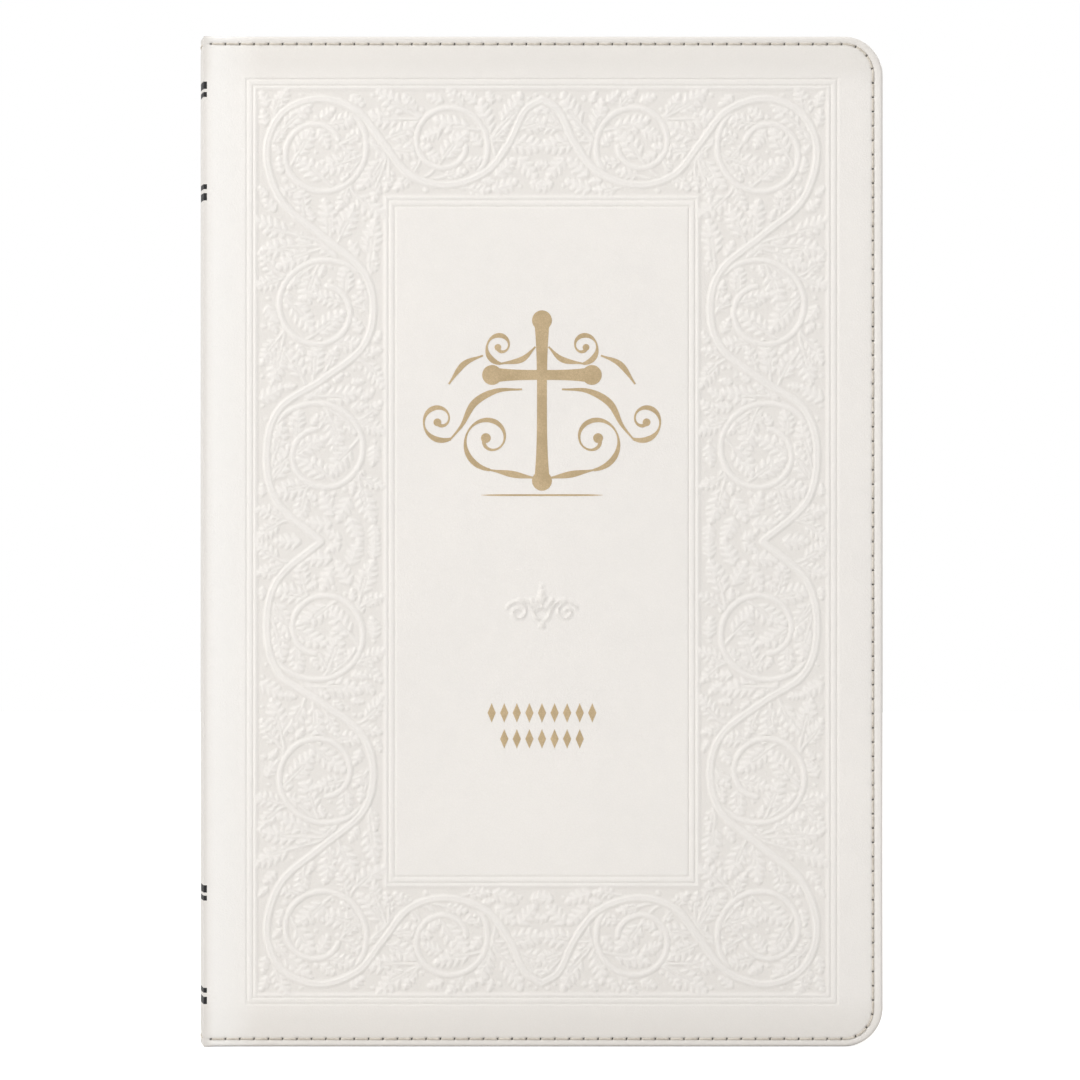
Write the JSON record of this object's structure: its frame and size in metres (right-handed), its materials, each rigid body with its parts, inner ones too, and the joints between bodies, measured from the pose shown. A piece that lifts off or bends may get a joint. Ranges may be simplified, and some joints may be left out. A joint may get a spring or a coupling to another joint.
{
  "type": "bible",
  "caption": "Large flexible-cover bible: stitched off-white covers, blind floral border and gold foil front, round spine with black bands, sewn pages in two halves, leaves, ribbon.",
  "frame": {"origin": "centre of the bottom of the closed book, standing on its tail edge", "axes": "+X from the spine to the fore edge, -Y out of the front cover, +Z from tail to head"},
  "size_m": [0.1582, 0.0376, 0.233],
  "materials": {
    "cover_leather": "matt off-white grained imitation leather, blind embossed",
    "board": "grey-brown binder's board",
    "lining_paper": "off-white endpaper",
    "page_paper": "thin bible paper with gilt edges",
    "thread": "pale tan sewing thread",
    "gold_foil": "satin gold foil",
    "black_foil": "black pigment foil",
    "mull_cloth": "open-weave mull",
    "band_cloth": "ribbed gold and white head band",
    "ribbon_satin": "satin ribbon"
  },
  "bodies": {
    "rear_block": {"rear_signatures": "page_paper", "rear_mull": "mull_cloth", "rear_sewing": "thread", "rear_headband": "band_cloth", "rear_tailband": "band_cloth"},
    "spine": {"spine_leather": "cover_leather", "spine_card": "board", "spine_black_foil": "black_foil", "spine_stitching": "thread"},
    "front_block": {"front_signatures": "page_paper", "front_mull": "mull_cloth", "front_sewing": "thread", "front_headband": "band_cloth", "front_tailband": "band_cloth"},
    "front_cover": {"front_leather": "cover_leather", "front_board": "board", "front_lining": "lining_paper", "front_stitching": "thread", "front_gold_foil": "gold_foil"},
    "back_cover": {"back_leather": "cover_leather", "back_board": "board", "back_lining": "lining_paper", "back_stitching": "thread"},
    "front_flyleaf": {"front_flyleaf": "lining_paper"},
    "presentation_leaf": {"presentation_leaf": "page_paper"},
    "back_flyleaf": {"back_flyleaf": "lining_paper"},
    "map_leaf": {"map_leaf": "page_paper"},
    "ribbon": {"ribbon_marker": "ribbon_satin"}
  },
  "joints": [
    {"name": "rear_opening", "type": "hinge", "parent": "rear_block", "child": "spine", "pos_m": [-0.0775, 0.0194, 0], "axis": [0, 0, 1], "range_deg": [-90, 0]},
    {"name": "front_opening", "type": "hinge", "parent": "spine", "child": "front_block", "pos_m": [-0.0775, -0.0194, 0], "axis": [0, 0, 1], "range_deg": [-90, 0]},
    {"name": "front_cover_hinge", "type": "hinge", "parent": "front_block", "child": "front_cover", "pos_m": [-0.0775, -0.0194, 0], "axis": [0, 0, 1], "range_deg": [-175, 0]},
    {"name": "back_cover_hinge", "type": "hinge", "parent": "rear_block", "child": "back_cover", "pos_m": [-0.0775, 0.0194, 0], "axis": [0, 0, 1], "range_deg": [0, 175]},
    {"name": "front_flyleaf_turn", "type": "hinge", "parent": "front_block", "child": "front_flyleaf", "pos_m": [-0.0733, -0.0158, 0], "axis": [0, 0, 1], "range_deg": [-122.5, 0]},
    {"name": "presentation_leaf_turn", "type": "hinge", "parent": "front_block", "child": "presentation_leaf", "pos_m": [-0.0721, -0.0153, 0], "axis": [0, 0, 1], "range_deg": [-78.75, 0]},
    {"name": "back_flyleaf_turn", "type": "hinge", "parent": "rear_block", "child": "back_flyleaf", "pos_m": [-0.0733, 0.0158, 0], "axis": [0, 0, 1], "range_deg": [0, 122.5]},
    {"name": "map_leaf_turn", "type": "hinge", "parent": "rear_block", "child": "map_leaf", "pos_m": [-0.0721, 0.0153, 0], "axis": [0, 0, 1], "range_deg": [0, 78.75]},
    {"name": "ribbon_swing", "type": "hinge", "parent": "rear_block", "child": "ribbon", "pos_m": [-0.0415, 0, 0.226], "axis": [0, -1, 0], "range_deg": [0, 25]}
  ],
  "couplings": [
    {"joint": "front_flyleaf_turn", "follows": "front_cover_hinge", "ratio": 0.7},
    {"joint": "presentation_leaf_turn", "follows": "front_cover_hinge", "ratio": 0.45},
    {"joint": "back_flyleaf_turn", "follows": "back_cover_hinge", "ratio": 0.7},
    {"joint": "map_leaf_turn", "follows": "back_cover_hinge", "ratio": 0.45}
  ]
}
